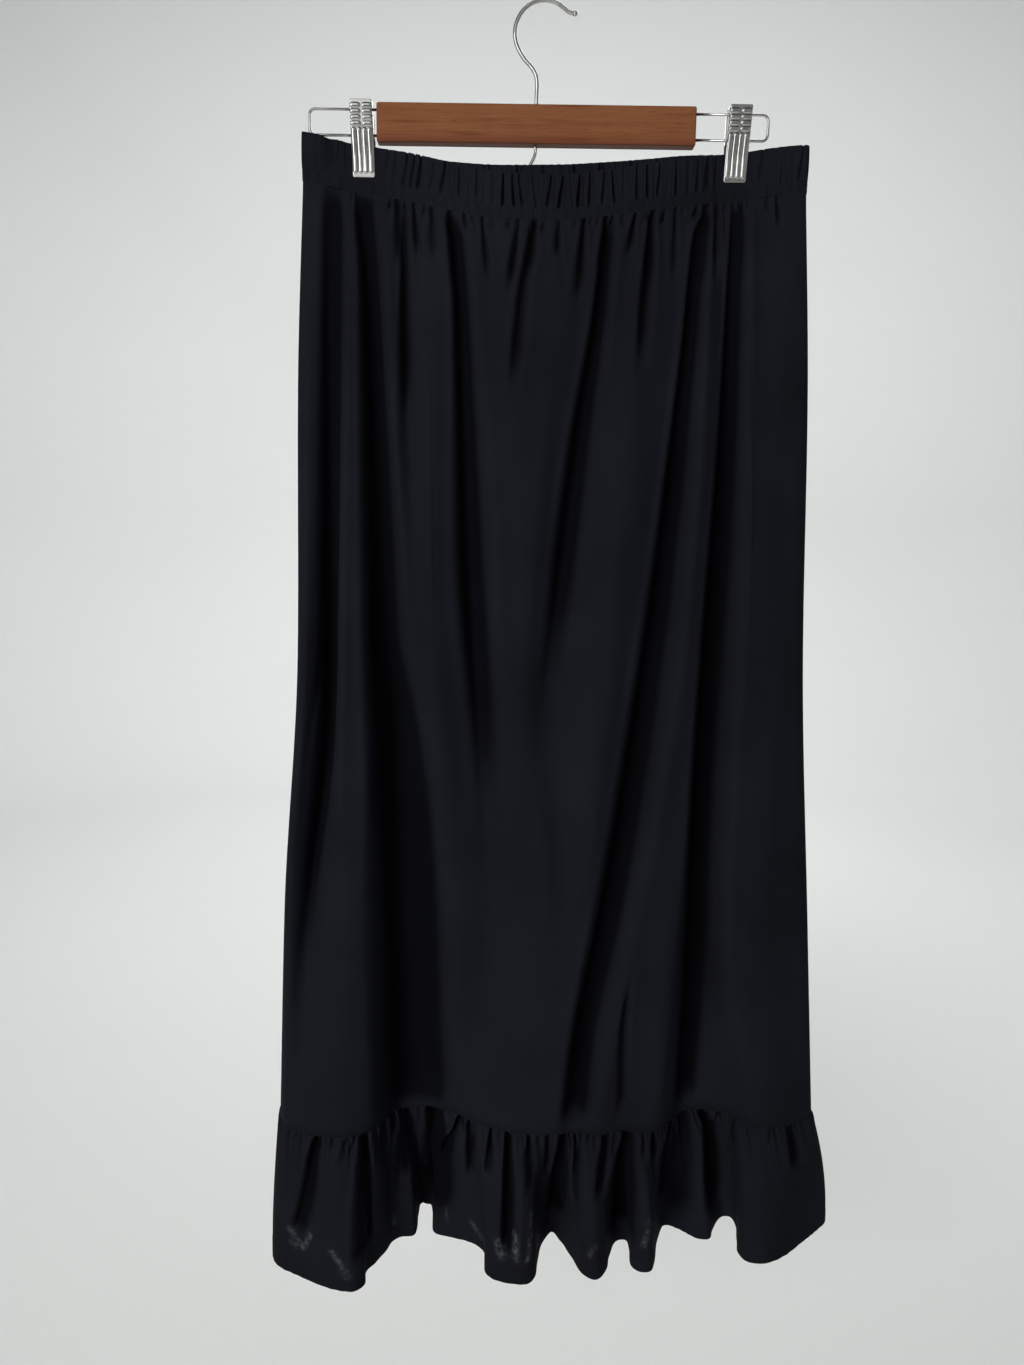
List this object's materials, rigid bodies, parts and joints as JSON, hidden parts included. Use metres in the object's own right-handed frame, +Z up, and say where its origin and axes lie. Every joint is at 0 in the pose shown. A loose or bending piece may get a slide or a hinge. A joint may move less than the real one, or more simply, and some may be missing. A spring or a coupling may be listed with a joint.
{
  "type": "ruffled pull-on skirt on a wooden clip hanger",
  "caption": "Long pull-on jersey skirt with a gathered elastic waistband and a gathered hem ruffle, held by the sliding clips of a wooden hanger.",
  "frame": {"origin": "inner top of the hanger's hook, where it rests on a wall hook", "axes": "+Z up along the skirt's length, -Y out of the skirt's front towards a viewer, +X to that viewer's right along the bar"},
  "size_m": [0.5201, 0.144, 1.0567],
  "materials": {
    "jersey": "black fine knit jersey with a soft sheen",
    "wood": "stained and lacquered wood",
    "chrome": "polished plating",
    "steel": "spring steel"
  },
  "bodies": {
    "root": {"hanger_bar": "wood", "hanger_hook": "chrome", "lower_hook": "chrome", "wire_left": "chrome", "wire_right": "chrome", "clip_left_front": "chrome", "clip_left_back": "chrome", "clip_left_spring": "steel", "clip_right_front": "chrome", "clip_right_back": "chrome", "clip_right_spring": "steel", "waistband_front": "jersey", "waistband_back": "jersey", "panel_front": "jersey", "panel_back": "jersey", "ruffle_front": "jersey", "ruffle_back": "jersey"}
  },
  "joints": []
}
